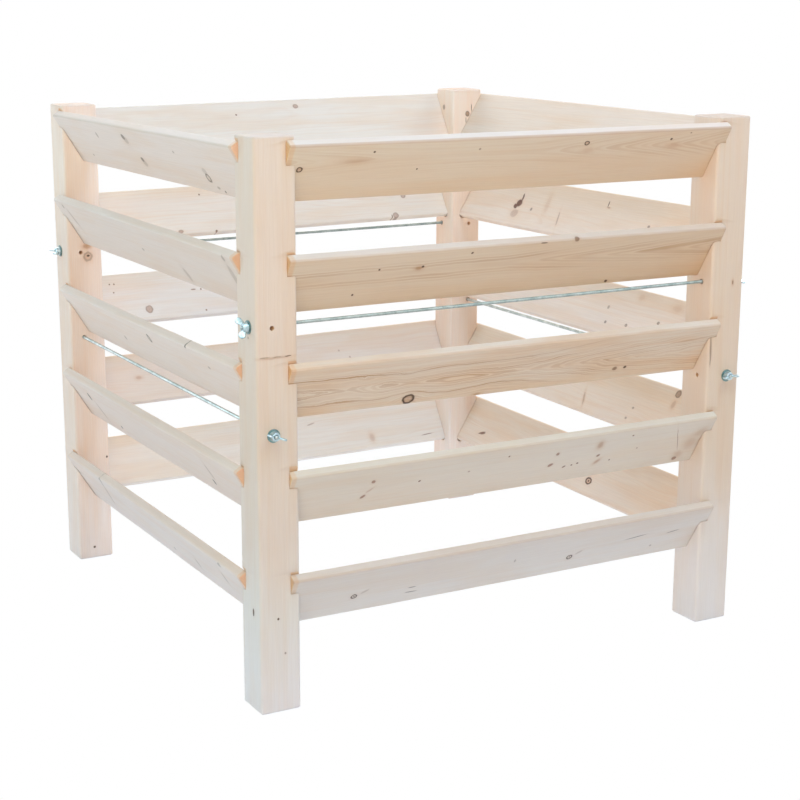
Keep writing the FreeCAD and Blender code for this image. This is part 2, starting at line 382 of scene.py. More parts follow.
    colour = net.mix(net.smooth(broad, 0.42, 0.68, 0.0, patch), tint(base, (1.02, 1.02, 1.02)), tint(base, warm))
    colour = net.mix(net.smooth(streak, 0.5, 0.74, 0.0, patch * 0.8), colour, tint(base, tuple(a * 0.985 for a in warm)))
    # a colour ramp up the post by height: partly painted light and shade, paler and cooler toward the foot where light
    # from the white floor falls, lighter and darker bands where the post gets more or less light; partly the wood's
    # own colour
    if tone:
        height = net.math("ADD", s, net.math("MULTIPLY", net.math("SUBTRACT", broad, 0.5), 60.0))
        ramp = net.node("ShaderNodeValToRGB")
        net.feed(ramp.inputs[0], net.line(height, 0.0, HEIGHT))
        stops = ramp.color_ramp.elements
        while len(stops) < len(tone):
            stops.new(0.5)
        for stop, (z, c) in zip(stops, tone):
            stop.position = z / HEIGHT
            stop.color = (*(a * 0.8 for a in c), 1.0)
        colour = net.vec("SCALE", net.mix(1.0, colour, ramp.outputs[0], "MULTIPLY"), 1.25)
    if flow != (1.0, 1.0, 1.0):
        colour = net.mix(net.smooth(s, -386.0, 386.0), colour, net.mix(1.0, colour, tuple(flow), "MULTIPLY"))
    if low != (1.0, 1.0, 1.0):
        colour = net.mix(net.smooth(net.split(at)[1], -44.0, 44.0), colour, net.mix(1.0, colour, tuple(low), "MULTIPLY"))
    # painted highlight: the top edge strip made paler by edge, standing in for the light from above
    if edge != (1.0, 1.0, 1.0):
        over = net.vec("SCALE", net.mix(1.0, colour, tuple(a * 0.5 for a in edge), "MULTIPLY"), 2.0)
        colour = net.mix(net.smooth(net.split(at)[1], -46.6, -44.4, 1.0, 0.0), colour, over)
    # painted shade on the rounded front arris of a slat's top edge, darker than the lit top flat
    if arris:
        arris_shade = net.math("MULTIPLY", net.smooth(net.split(at)[1], -45.4, -44.0, 1.0, 0.0), net.smooth(net.split(at)[2], -5.6, -4.0, 1.0, 0.0))
        colour = net.mix(arris_shade, colour, net.mix(1.0, colour, tuple(arris), "MULTIPLY"))
    # painted light: warm light bounced from the post onto the slat near its far end; on back_1 partly the wood's own
    # warmth too
    if glow:
        post_bounce = net.math("MULTIPLY", net.smooth(net.split(at)[0], 210.0, 380.0), net.smooth(net.split(at)[1], -38.0, 40.0))
        colour = net.mix(post_bounce, colour, net.mix(1.0, colour, tuple(glow), "MULTIPLY"))
    # painted shade: the last of the slat at its near end, inside the groove, darkened and warmed as the groove's
    # shadow and bounce light
    if groove_shade:
        colour = net.mix(net.smooth(net.split(at)[0], -380.5, -376.5, 1.0, 0.0), colour, net.mix(1.0, colour, tuple(groove_shade), "MULTIPLY"))
    colour = net.mix(net.math("MULTIPLY", drawn, contrast), colour, net.mix(1.0, colour, tuple(dark), "MULTIPLY"))
    shade = net.math("ADD", net.math("MULTIPLY_ADD", strand, fibre * 2, 1.0 - fibre),
                     net.math("MULTIPLY_ADD", fine, fibre, -fibre / 2))
    colour = net.vec("SCALE", colour, shade)
    if knots:
        darks, browns, stains = net.split(marks)
        colour = net.mix(stains, colour, net.mix(1.0, colour, tuple(stain), "MULTIPLY"))
        colour = net.mix(browns, colour, net.mix(ragged, tint(heart, (1.45, 1.45, 1.45)), tint(heart, (0.62, 0.55, 0.5))))
        colour = net.mix(darks, colour, net.mix(ragged, tint(rim, (1.5, 1.4, 1.3)), tint(rim, (0.5, 0.5, 0.5))))
    # end-grain faces are darker than the faces along the grain; on the slats the strong orange of the ends is also
    # painted warm bounce light inside the notches
    colour = net.mix(end_at, colour, net.mix(1.0, colour, tuple(end), "MULTIPLY"))
    # painted shade: the faces of the grooves and drilled holes made darker and warmer, as the shadow and warm bounce
    # light in these recesses
    colour = net.mix(net.attribute("cut", "Fac"), colour, net.mix(1.0, colour, tuple(cut), "MULTIPLY"))
    net.feed(b.inputs["Base Color"], colour)
    rough = net.math("MULTIPLY_ADD", strand, 0.22, 0.52)
    if knots:
        rough = net.math("MULTIPLY_ADD", darks, -0.18, rough)
    net.feed(b.inputs["Roughness"], rough)
    b.inputs["Specular IOR Level"].default_value = 0.22
    height = net.math("MULTIPLY_ADD", strand, 0.55, net.math("MULTIPLY", fine, 0.25))
    height = net.math("MULTIPLY_ADD", drawn, 0.22, height)
    if knots:
        height = net.math("MULTIPLY_ADD", darks, -0.6, height)
    bump = net.node("ShaderNodeBump")
    bump.inputs["Strength"].default_value = 0.3
    bump.inputs["Distance"].default_value = 0.0003
    net.feed(bump.inputs["Height"], height)
    net.feed(b.inputs["Normal"], bump.outputs[0])
    return m


def zinc(name, seed, light, deep, lo, hi, scale, tarnish=0.5):
    """Zinc plate: a blue-green bloom over bright metal, with small spangles and duller spots."""
    m, net, b = bsdf(name)
    at = net.node("ShaderNodeTexCoord").outputs["Object"]
    at = net.vec("ADD", net.vec("SCALE", at, scale), (seed * 3.1, seed * 1.7, seed * 2.3))
    cloud = net.noise(at, 1.0, 3.0, 0.6)
    spangle = net.node("ShaderNodeTexVoronoi", feature="F1")
    net.feed(spangle.inputs["Vector"], net.vec("SCALE", at, 3.7))
    spot = net.noise(net.vec("SCALE", at, 2.6), 1.0, 2.0)
    colour = net.mix(net.smooth(cloud, 0.35, 0.66), tuple(light), tuple(deep))
    facet = net.node("ShaderNodeSeparateColor")
    net.feed(facet.inputs[0], spangle.outputs["Color"])
    colour = net.vec("SCALE", colour, net.math("MULTIPLY_ADD", facet.outputs[0], 0.16, 0.92))
    colour = net.mix(net.smooth(spot, 0.6, 0.72, 0.0, tarnish), colour, tint(deep, (0.75, 0.78, 0.76)))
    net.feed(b.inputs["Base Color"], colour)
    b.inputs["Metallic"].default_value = 1.0
    rough = net.line(cloud, 0.3, 0.7, lo, hi)
    net.feed(b.inputs["Roughness"], net.math("MULTIPLY_ADD", facet.outputs[1], 0.06, rough))
    bump = net.node("ShaderNodeBump")
    bump.inputs["Strength"].default_value = 0.18
    bump.inputs["Distance"].default_value = 0.00012
    net.feed(bump.inputs["Height"], net.math("ADD", cloud, net.math("MULTIPLY", spot, 0.6)))
    net.feed(b.inputs["Normal"], bump.outputs[0])
    return m


def mark(kind, s, w, rs, rw, **more):
    """A knot or streak on a slat: along, across, and its half sizes; it goes right through."""
    return dict(kind=kind, c=(s, w, 0.0), r=(rs, rw, 400.0), **more)


def spot(kind, c, r, **more):
    """A knot on a post, given in all three directions."""
    return dict(kind=kind, c=c, r=r, **more)


TOP_EDGE_HIGHLIGHT = (1.05, 1.06, 1.08)  # painted highlight: the slats' top edges lit paler than the faces by the light from above
GROOVE_SHADE = (1.0, 0.88, 0.76)  # painted shade and warm bounce light on the last of a slat, inside its groove
# groove_shade and arris paint shade on the slats of a side; end mixes end-grain colour with painted bounce light
LOOK = {
    "front": dict(groove_shade=GROOVE_SHADE, end=(1.0, 0.86, 0.70), fibre=0.06, arris=(0.95, 0.91, 0.88)),
    "left": dict(groove_shade=GROOVE_SHADE, end=(1.02, 0.88, 0.80), fibre=0.06, stain=(0.88, 0.84, 0.80), rim=(0.25, 0.215, 0.185), heart=(0.46, 0.39, 0.33)),
    "back": dict(fibre=0.06, stain=(0.86, 0.68, 0.55), rim=(0.30, 0.20, 0.15), heart=(0.56, 0.40, 0.32)),
    "right": dict(fibre=0.07, stain=(0.84, 0.66, 0.52), rim=(0.16, 0.10, 0.07), heart=(0.46, 0.31, 0.22)),
}
# What each slat shows: its own tone, how it was sawn, and the knots that can be seen on it; its edge, arris and glow
# paint light and shade: the lit top edge, the shaded front arris and warm light bounced from the post.
SLATS = {
    "front_1": dict(base=(0.785, 0.698, 0.579), arris=(0.87, 0.79, 0.73), flow=(1.0, 0.95, 0.92), low=(1.0, 0.975, 0.95), edge=(1.04, 1.08, 1.19), glow=(1.02, 0.95, 0.87), pith=(-20.7, -4), curve=-2.3e-4, middle=-108, fade=30, wander=2.6, stain=(0.84, 0.68, 0.56), dark=(0.84, 0.74, 0.64), contrast=0.62, soft=0.2, vary=0.85, ripple=2.0, ring=5.0, knots=[mark("ring", -363.3, -7.9, 5.4, 4.9), mark("pin", -251.5, -32.7, 2.1, 2.1), mark("pin", -172.4, 0.9, 1.5, 1.5),
        mark("faint", -75.6, -28.9, 2.2, 2.2), mark("ring", 113.5, -31.3, 5.2, 4.4), mark("cloud", 120.4, -18.5, 13, 5.5, stain=0.9),
        mark("pin", 272.9, -31.0, 2.5, 2.4), mark("cloud", 280.8, -18.7, 15, 6, stain=1.1), mark("faint", 307.0, -41.6, 2.0, 1.8),
        mark("cloud", -278.5, -17.7, 24, 4.6, stain=1.2), mark("swirl", 39.4, -17.0, 30, 10, push=2.5)]),
    "front_2": dict(base=(0.755, 0.650, 0.525), flow=(0.98, 0.92, 0.86), edge=(1.05, 1.12, 1.26), low=(1.0, 0.975, 0.95), glow=(1.03, 0.95, 0.86), pith=(-11.5, -5), slope=-0.085, lean=-0.008, onward=True, middle=-10, wander=2.6, dark=(0.76, 0.62, 0.49), contrast=0.8, soft=0.15, vary=0.75, ripple=2.4, fade=26, ring=5.4, knots=[
        mark("pin", -237.4, -19.8, 2.1, 2.1), mark("pin", -165.4, -18.8, 2.8, 2.5), mark("resin", -171.7, -16.3, 7, 4),
        mark("pin", -86.3, -37.5, 2.6, 2.0, turn=35), mark("pin", -270.1, 23.5, 2.1, 2.0), mark("pin", 187.0, 41.6, 3.2, 3.0),
        spot("brown", (97.5, -47, -6), (5.0, 4.0, 5.0)), spot("dash", (38, -45.5, -7), (7, 1.2, 4))]),
    "front_3": dict(base=(0.769, 0.660, 0.545), low=(1.05, 1.07, 1.08), edge=(1.09, 1.14, 1.2), glow=(1.02, 0.97, 0.92), pith=(2.7, -5), onward=True, middle=30, fade=46, wander=3.4, dark=(0.68, 0.52, 0.38), contrast=1.0, soft=0.1, vary=0.8, ripple=6.5, ring=4.6, slope=-0.12, patch=0.7, warm=(1.0, 0.87, 0.74), knots=[mark("ring", -172.0, 36.6, 11.6, 10.4, push=15), mark("swirl", -228.2, -2.4, 17, 9, push=-12), mark("swirl", -288.1, 6.0, 26, 8, push=8),
        mark("swirl", -198.2, -18.3, 22, 7, push=8), mark("swirl", -245.1, -8.2, 12, 6, push=9), mark("swirl", -98.4, 6.3, 34, 9, push=-8), mark("swirl", -32.5, 29.2, 26, 8, push=8),
        mark("swirl", 205.7, 15.4, 40, 14, push=-7), mark("brown", 203.4, 23.6, 5.0, 4.6), mark("pin", 223.0, 23.1, 3.4, 3.0), mark("resin", -48.5, 45.1, 8, 4)]),
    "front_4": dict(base=(0.750, 0.681, 0.590), low=(1.07, 1.07, 1.07), pith=(70, -60), ring=1.9, slope=0.01, contrast=0.17, edge=(1.07, 1.11, 1.13), heart=(0.42, 0.24, 0.17), rim=(0.17, 0.085, 0.06), stain=(0.78, 0.62, 0.50), knots=[
        mark("brown", -245.1, -17.3, 3.9, 3.8), mark("brown", -255.4, 12.7, 5.6, 3.0, turn=38), mark("resin", -247.0, 0.9, 9, 2.2, turn=42, stain=0.45),
        mark("pin", -162.1, -3.3, 2.8, 1.9, turn=30), mark("faint", -76.5, -7.5, 2.2, 2.0), mark("pin", -11.2, -27.5, 1.8, 1.8),
        mark("brown", 83.6, -17.0, 3.6, 4.0), mark("brown", 77.4, 5.9, 6.0, 3.6, turn=28), mark("dash", 106.4, 14.3, 3.9, 2.0, turn=30),
        mark("pin", 120.4, 13.3, 2.1, 1.7), mark("pin", 131.2, 11.6, 2.5, 1.7), mark("resin", 161.6, -23.3, 6.5, 8.5),
        mark("brown", 167.1, 0.7, 4.0, 3.0, turn=30), mark("resin", 170.4, 14.1, 7.5, 3.6, turn=38), mark("pin", 195.1, 14.7, 1.7, 1.7),
        mark("pin", 221.1, -33.8, 2.2, 1.5), mark("faint", 242.1, -2.9, 2, 1.8), mark("brown", 334.7, 35.5, 5.6, 4.8),
        mark("cloud", 365.1, -17.9, 15, 9, stain=1.20, turn=25), mark("cloud", 352.2, 4.6, 13, 15, stain=1.08), mark("cloud", 338.3, 28.1, 10, 9, stain=1.20), mark("cloud", 372.1, 6.5, 8, 12, stain=0.84), mark("seam", 321.6, -8.8, 38, 0.8, turn=-67)]),
    "front_5": dict(base=(0.730, 0.654, 0.580), low=(1.07, 1.08, 1.08), pith=(-70, 46), ring=2.2, slope=0.012, contrast=0.2, heart=(0.60, 0.52, 0.45), rim=(0.13, 0.10, 0.08), knots=[
        mark("ring", -272.1, 10.5, 5.8, 5.4, turn=25), mark("pin", -272.1, 10.5, 1.7, 1.6), mark("ring", 119.8, 13.7, 6.2, 5.8, turn=25), mark("pin", 119.8, 13.7, 1.7, 1.6),
        mark("grey", -255.6, 3.2, 9, 2.4, turn=28, stain=0.3), mark("grey", 135.4, 5.6, 9, 2.4, turn=28, stain=0.3),
        mark("dash", -171.1, 13.9, 8.0, 1.1), mark("dash", -170.7, 24.7, 11.5, 1.1), mark("faint", 10.0, -2.9, 1.8, 4.0),
        mark("faint", 285.7, 23.8, 2.4, 2.2), mark("dash", 243.1, -6.2, 24.0, 1.0, turn=6), mark("dash", 320.4, -3.1, 15.0, 1.0, turn=8)]),
    "left_1": dict(base=(0.818, 0.739, 0.688), edge=(0.93, 0.91, 0.88), pith=(-60, 34), slope=0.03, dark=(0.86, 0.80, 0.74), contrast=0.16, knots=[mark("pin", 62.3, -28.0, 7.4, 6.2), mark("grey", 57.3, -23.0, 11.0, 9.0), mark("pin", 33.1, 11.9, 6.8, 5.0), mark("grey", 30.7, 18.4, 10, 8),
        mark("ring", -225.6, 19.8, 8.8, 9.0), mark("grey", -224.6, 9.0, 10, 8, stain=0.4), mark("faint", -243.5, 35.5, 5.5, 3.0), mark("faint", 285.4, 25.6, 4, 2.4), mark("faint", -137.8, -17.4, 4, 2.6),
        mark("pin", -262.6, 40.0, 3, 2.5), mark("faint", 195.2, -21.0, 4, 6), mark("swirl", -144.5, -11.3, 40, 16, push=8)]),
    "left_2": dict(base=(0.793, 0.707, 0.646), pith=(-64, 40), slope=-0.02, dark=(0.86, 0.80, 0.74), contrast=0.16, knots=[mark("faint", 350.0, -36.4, 4.5, 5.0), mark("grey", 330.5, -15.0, 4.5, 24, turn=-25), mark("faint", 22.2, 4.1, 5, 2.6),
        mark("faint", -352.1, -41.4, 5.5, 6.0), mark("grey", -350.8, -7.8, 10, 30, turn=4, stain=0.8), mark("grey", -134.0, 25.8, 8.0, 17.0, turn=-24, stain=0.8)]),
    "left_3": dict(base=(0.829, 0.728, 0.657), pith=(-58, 30), slope=0.03, dark=(0.86, 0.78, 0.70), contrast=0.16, knots=[
        mark("loose", -26.7, -25.7, 6.5, 9.0), mark("faint", 127.9, 6.3, 5, 5), mark("pin", -200.0, -46.0, 3.0, 3.0), mark("faint", -260.7, -20.1, 5, 3)]),
    "left_4": dict(base=(0.807, 0.701, 0.626), pith=(60, 34), slope=0.02, dark=(0.86, 0.79, 0.72), contrast=0.16, knots=[mark("dark", 288.8, -15.8, 6.0, 9.0), mark("grey", 266.9, 11.5, 5, 22, turn=-18), mark("pin", 189.0, 27.2, 4.0, 4.6),
        mark("pin", -226.0, 19.6, 4.6, 6.4), mark("grey", -235.8, -3.3, 5, 20, turn=-10)]),
    "left_5": dict(base=(0.809, 0.694, 0.614), pith=(66, 38), slope=-0.02, dark=(0.86, 0.80, 0.74), contrast=0.16, knots=[mark("faint", 213.3, -42.9, 6.0, 6.0), mark("faint", 217.3, -33.0, 4, 6.0), mark("grey", 223.3, -7.4, 4.5, 34, turn=18),
        mark("faint", -49.1, 20.2, 5, 3.4), mark("grey", -158.0, 11.2, 4.5, 13.0, turn=-8), mark("grey", -288.8, -8.5, 5.0, 15.0, turn=-8),
        mark("faint", -310.0, -43.7, 7.0, 4.5)]),
    "back_1": dict(base=(0.846, 0.789, 0.719), glow=(1.09, 0.99, 0.92), pith=(-18, 40), ring=5.2, slope=0.012, wander=9.0, dark=(0.93, 0.80, 0.72), patch=0.5, contrast=0.3, knots=[
        mark("round", 50.0, -32.7, 6.0, 5.0, stain=0.8), mark("pin", -77.7, -19.9, 2.2, 2.1)]),
    "back_2": dict(base=(0.879, 0.800, 0.714), pith=(-6, 34), ring=4.6, slope=-0.02, wander=9.0, dark=(0.93, 0.80, 0.72), patch=0.5, contrast=0.3, knots=[
        mark("round", 280.0, 3.7, 6.0, 5.6), mark("round", 252.1, 43.7, 7.0, 6.4, stain=0.6), mark("dash", 243.5, 45.7, 1.8, 5.0), mark("brown", -208.4, 41.4, 6.0, 4.0),
        mark("pin", -137.3, 45.7, 2.6, 2.6), mark("pin", -154.9, -29.0, 2.0, 2.0), mark("pin", -119.4, -32.4, 2.5, 2.0)]),
    "back_3": dict(base=(0.847, 0.800, 0.754), pith=(30, 40), ring=4.8, slope=0.02, wander=8.0, dark=(0.94, 0.83, 0.75), patch=0.5, contrast=0.3, knots=[
        mark("round", -272.1, 27.1, 8.3, 8.4, stain=0.6), mark("pin", -339.1, -28.2, 1.9, 2.0), mark("pin", -330.2, -27.7, 1.9, 2.0),
        mark("pin", -334.3, -11.7, 1.8, 1.8), mark("dash", -176.3, -4.2, 6.0, 1.7), mark("pin", -160.5, -3.9, 2.0, 2.0), mark("pin", -159.5, 38.7, 2.0, 2.0)]),
    "back_4": dict(base=(0.812, 0.708, 0.623), pith=(-30, 44), ring=4.4, slope=-0.02, wander=8.0, dark=(0.94, 0.83, 0.75), patch=0.5, contrast=0.3, knots=[mark("faint", 137.0, -5.8, 2.2, 2.2), mark("faint", 158.1, 9.8, 2.2, 2.1), mark("resin", -292.5, 0.9, 7, 4), mark("faint", -180.5, 25.0, 4, 3)]),
    "back_5": dict(base=(0.859, 0.775, 0.684), pith=(20, 44), ring=4.4, slope=0.02, wander=8.0, dark=(0.94, 0.83, 0.75), patch=0.5, contrast=0.3, knots=[mark("resin", 204.1, 25.7, 7, 10, stain=0.8), mark("dash", 331.0, 35.3, 16, 1.2, turn=4), mark("faint", 76.0, -18.9, 10, 1.6, turn=12), mark("faint", -200.3, 16.1, 3, 2.6)]),
    "right_1": dict(base=(0.835, 0.713, 0.602), pith=(40, 44), ring=4.4, slope=0.02, wander=7.0, dark=(0.93, 0.82, 0.73), patch=0.5, contrast=0.26, knots=[]),
    "right_2": dict(base=(0.936, 0.778, 0.658), pith=(34, 40), ring=4.2, slope=-0.02, wander=9.0, dark=(0.92, 0.80, 0.70), patch=0.5, contrast=0.26, heart=(0.30, 0.13, 0.09), rim=(0.10, 0.05, 0.045), knots=[mark("red", 190.0, 1.7, 10.5, 9.5, turn=-24), mark("red", 197.5, 9.0, 7.5, 5.6, turn=30), mark("dash", 187.0, -11.0, 3.0, 9.5, turn=-14), mark("resin", 190.0, 23.7, 15, 10, stain=0.4),
        mark("faint", 143.0, 9.8, 4, 4), mark("grey", 48.0, 18.2, 2.4, 18, turn=-14, stain=0.5), mark("dash", -77.0, -25.7, 1.4, 7.0, turn=-12), mark("grey", -82.0, -19.3, 5.0, 1.6),
        mark("faint", -212.8, 2.7, 4, 3), mark("cloud", 100.0, -4.7, 8, 22, turn=-10, stain=0.7), mark("cloud", -250.0, 15.0, 20, 12, stain=0.5)]),
    "right_3": dict(base=(0.900, 0.771, 0.669), pith=(-40, 40), ring=4.2, slope=0.02, wander=8.0, dark=(0.92, 0.80, 0.70), patch=0.5, contrast=0.26, heart=(0.42, 0.33, 0.27), rim=(0.24, 0.18, 0.14), knots=[mark("round", -119.0, 24.6, 3.6, 3.0), mark("round", -177.0, 20.8, 3.8, 3.2), mark("round", -254.6, 1.7, 4.0, 3.0), mark("faint", -108.0, -2.6, 3.4, 4.0),
        mark("cloud", -181.6, -33.9, 9, 7, stain=0.8), mark("cloud", -284.5, -31.0, 14, 8, stain=0.9), mark("faint", 150.0, -0.8, 3, 3)]),
    "right_4": dict(base=(0.871, 0.727, 0.599), pith=(30, 40), ring=4.2, slope=-0.02, wander=8.0, dark=(0.90, 0.76, 0.64), patch=0.6, contrast=0.26, knots=[mark("round", -290.7, -38.1, 8.0, 8.0, stain=1.6), mark("resin", -291.0, -18.0, 6, 9, stain=0.7), mark("faint", -191.5, 31.2, 3.2, 2.6), mark("faint", -197.4, 10.0, 3.4, 2.6), mark("grey", -57.5, 23.4, 3, 16, turn=-20),
        mark("resin", -50.4, -25.3, 12, 8, stain=0.5), mark("swirl", -77.4, -6.2, 50, 16, push=9)]),
    "right_5": dict(base=(0.860, 0.710, 0.580), pith=(-30, 40), ring=4.2, slope=0.02, wander=8.0, dark=(0.90, 0.76, 0.64), patch=0.6, contrast=0.26, heart=(0.44, 0.21, 0.11), rim=(0.13, 0.07, 0.05), knots=[mark("ring", -78.2, 20.8, 9.5, 7.8), mark("pin", -78.2, 20.8, 2.6, 2.2), mark("red", 298.0, 17.2, 13, 2.4, turn=-22, stain=0.7), mark("dash", 293.0, 18.1, 9, 1.2, turn=-22)]),
}

# tone: a colour ramp up each post, partly painted light and shade (pale, cool foot lit by the floor), partly the
# wood's own colour
POSTS = {
    "post_front_left": dict(base=(0.831, 0.731, 0.646), pith=(60, 70), ring=2.2, tone=[(0, (1.06, 1.09, 1.15)), (90, (1.01, 1.06, 1.11)), (150, (0.98, 1.04, 1.08)), (260, (0.96, 0.96, 0.97)), (420, (0.955, 0.94, 0.925)), (600, (1.0, 0.98, 0.98)), (847, (1.01, 1.02, 1.04))], contrast=0.16, fibre=0.055, dark=(0.93, 0.83, 0.74), knots=[
        spot("pin", (147.0, 3.7, -25), (2.2, 2.0, 3)), spot("faint", (91.6, 14.9, -25), (2.2, 2.0, 3)), spot("dark", (154.8, -25, -1.2), (6.5, 3, 2.8)),
        spot("seam", (539.2, -12.6, -25), (0.8, 10, 4)), spot("seam", (538.5, 7.4, -25), (0.7, 9, 4)), spot("dash", (538.6, 24.4, -25), (1.0, 6.0, 4)),
        spot("resin", (537.7, 2.4, -25), (2.0, 30, 6), stain=0.45), spot("faint", (564.3, -25, 1.5), (2.0, 3, 1.8))]),
    "post_front_right": dict(base=(0.854, 0.741, 0.649), pith=(70, 60), ring=2.2, tone=[(0, (1.0, 1.05, 1.1)), (170, (0.98, 1.02, 1.06)), (290, (0.95, 0.92, 0.87)), (500, (0.98, 0.94, 0.89)), (847, (1.02, 1.01, 1.0))], contrast=0.15, fibre=0.05, dark=(0.93, 0.84, 0.75), knots=[
        spot("resin", (578.6, 3.6, -25), (5, 2.2, 4)), spot("dash", (578.6, 4.1, -25), (4, 0.9, 3)), spot("faint", (469.6, -35.1, -25), (30, 2, 3)), spot("hole", (580, -40, 0), (4.8, 4, 4.8))]),
    "post_back_left": dict(base=(0.920, 0.777, 0.674), pith=(80, -64), ring=3.0, dark=(0.93, 0.78, 0.64), tone=[(0, (1.0, 1.02, 1.05)), (200, (1.0, 1.0, 1.0)), (600, (1.01, 1.01, 1.02)), (740, (1.07, 1.12, 1.15)), (847, (1.04, 1.06, 1.09))], contrast=0.3, fibre=0.07, knots=[
        spot("halo", (572.0, 13.4, -40), (9.6, 9.4, 9)), spot("pin", (573.5, 14.0, -40), (2.4, 3.4, 4)), spot("resin", (591.0, 12.0, -40), (5, 9, 5)), spot("dark", (20.9, 4.3, -40), (2.4, 2.4, 3)),
        spot("pin", (193.3, 34.9, -40), (2.5, 2.0, 3))]),
    "post_back_right": dict(base=(0.955, 0.774, 0.643), pith=(-70, -60), ring=3.0, dark=(0.93, 0.78, 0.64), tone=[(0, (1.0, 1.02, 1.06)), (170, (0.96, 0.99, 1.02)), (400, (0.955, 0.945, 0.935)), (560, (1.0, 0.99, 0.98)), (760, (1.03, 1.05, 1.07)), (847, (1.06, 1.09, 1.12))], contrast=0.25, fibre=0.07, knots=[
        spot("round", (799.1, -6.9, -40), (5.8, 5.2, 7)), spot("faint", (811.9, -40, -4.3), (6, 4, 5)), spot("dash", (786.9, -10.2, -40), (8, 0.9, 3), stain=0.5), spot("dash", (811.0, 2.0, -40), (9, 0.9, 3)), spot("hole", (580, -40, 0), (4.8, 4, 4.8)), spot("hole", (424.5, 0, -40), (4.8, 4.8, 4))]),
}


# ---- slats ---------------------------------------------------------------------------
def rounded_loop(w, t, r, seg, du, dv):
    """Points (u, v) round a rectangle with rounded corners, evenly split along its flats."""
    pts = []
    nu = max(1, round((w - 2 * r) / du))
    nv = max(1, round((t - 2 * r) / dv))

    def arc(cu, cv, a0):
        for k in range(seg):
            a = a0 + math.pi / 2 * k / seg
            pts.append((cu + r * math.cos(a), cv + r * math.sin(a)))

    def flat(p, q, n):
        for k in range(n):
            pts.append((p[0] + (q[0] - p[0]) * k / n, p[1] + (q[1] - p[1]) * k / n))

    arc(w - r, t - r, 0.0)
    flat((w - r, t), (r, t), nu)
    arc(r, t - r, math.pi / 2)
    flat((0, t - r), (0, r), nv)
    arc(r, r, math.pi)
    flat((r, 0), (w - r, 0), nu)
    arc(w - r, r, 1.5 * math.pi)
    flat((w, r), (w, t - r), nv)
    return pts


def make_slat(side, level, rng):
    name = "%s_slat_%d" % (side, level + 1)
    full = FULL.get("%s_%d" % (side, level + 1), 98.0)
    loop = rounded_loop(SLAT_W, SLAT_T, 3.5, 6, 8.0, 4.5)
    n = len(loop)
    cuts = [(-SLAT_HALF, 1.1), (-SLAT_HALF + 0.3, 0.5), (-SLAT_HALF + 1.1, 0.0)]
    cuts += [(-SLAT_HALF + 8.0 * i, 0.0) for i in range(1, 97) if 8.0 * i < 2 * SLAT_HALF - 2.0]
    cuts += [(-a, i) for a, i in reversed(cuts[:3])]
    steps = len(cuts) - 1
    bow = rng.uniform(-0.9, 0.9)
    crook = rng.uniform(-0.7, 0.7)
    wave = [rng.uniform(0, 6.28) for _ in range(4)]
    rows, local = [], []
    for s, inset in cuts:
        f = s / SLAT_HALF
        ends = 1 - f * f
        for u, v in loop:
            u = inset + u * (1 - 2 * inset / SLAT_W)
            v = inset + v * (1 - 2 * inset / SLAT_T)
            dv = ends * (bow + 0.12 * math.sin(s / 61 + u / 37 + wave[0]) + 0.1 * math.sin(s / 23 + wave[1]))
            du = ends * (crook + 0.12 * math.sin(s / 47 + wave[2]))
            rows.append((s, SLAT_W / 2 + (u - SLAT_W / 2) * full / SLAT_W + du, v + dv))
            local.append((s, u - SLAT_W / 2, v - SLAT_T / 2))
    verts = []
    for s, u, v in rows:
        lift, push = seat(side, level, s)
        out, z = on_slat(u - lift, v, level)
        x, y, z = place(side, s, out - push, z)
        verts.append((x * MM, y * MM, z * MM))
    faces = []
    for i in range(steps):
        for k in range(n):
            a, b = i * n + k, i * n + (k + 1) % n
            faces.append((a, b, b + n, a + n))
    faces.append(tuple(range(n)))
    faces.append(tuple(range(steps * n, steps * n + n)))
    k = SIDES.index(side) * 5 + level
    ob = mesh_object("board_" + name, verts, faces, [spruce("wood_" + name, 3.0 + k * 7.3, **{"edge": TOP_EDGE_HIGHLIGHT, **LOOK[side], **SLATS["%s_%d" % (side, level + 1)]})])
    point_vectors(ob.data, "wood", local)
    outward(ob)
    end = [0.0] * len(ob.data.polygons)
    for p in ob.data.polygons:
        if len(p.vertices) > 4:
            end[p.index] = 1.0
    face_floats(ob.data, "end", end)
    sharp_by_angle(ob.data, 40)
    weighted(ob)
    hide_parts(name)
    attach(ob, name)
    return ob


# ---- posts ---------------------------------------------------------------------------
def prism(points, direction):
    """A closed prism from a planar loop of points, swept along a vector."""
    n = len(points)
    d = Vector(direction)
    verts = [Vector(p) for p in points] + [Vector(p) + d for p in points]
    faces = [tuple(range(n)), tuple(range(2 * n - 1, n - 1, -1))]
    faces += [(k, (k + 1) % n, (k + 1) % n + n, k + n) for k in range(n)]
    return verts, faces


def joined(parts, name):
    verts, faces = [], []
    for vs, fs in parts:
        base = len(verts)
        verts += [tuple(v) for v in vs]
        faces += [tuple(i + base for i in f) for f in fs]
    ob = mesh_object(name, [tuple(c * MM for c in v) for v in verts], faces)
    outward(ob)
    return ob


def groove_points(side, level, start):
    t, c = SLAT_T, 0.8
    full = FULL.get("%s_%d" % (side, level + 1), 98.0)
    r = t / 2 + c
    lift, push = seat(side, level, start)
    end = (SLAT_W + full) / 2 - 5.8 - lift
    loop = [(-40.0, -c)]
    for k in range(17):
        a = -math.pi / 2 + math.pi * k / 16
        loop.append((end + r * math.cos(a), t / 2 + r * math.sin(a)))
    loop.append((-40.0, t + c))
    return [place(side, start, out - push, z) for out, z in (on_slat(u, v, level) for u, v in loop)]


def drill(p, axis, length, r, n=28):
    ez = Vector(axis).normalized()
    ex = ez.orthogonal().normalized()
    ey = ez.cross(ex)
    pts = [Vector(p) + ex * r * math.cos(2 * math.pi * k / n) + ey * r * math.sin(2 * math.pi * k / n) for k in range(n)]
    return prism(pts, ez * length)


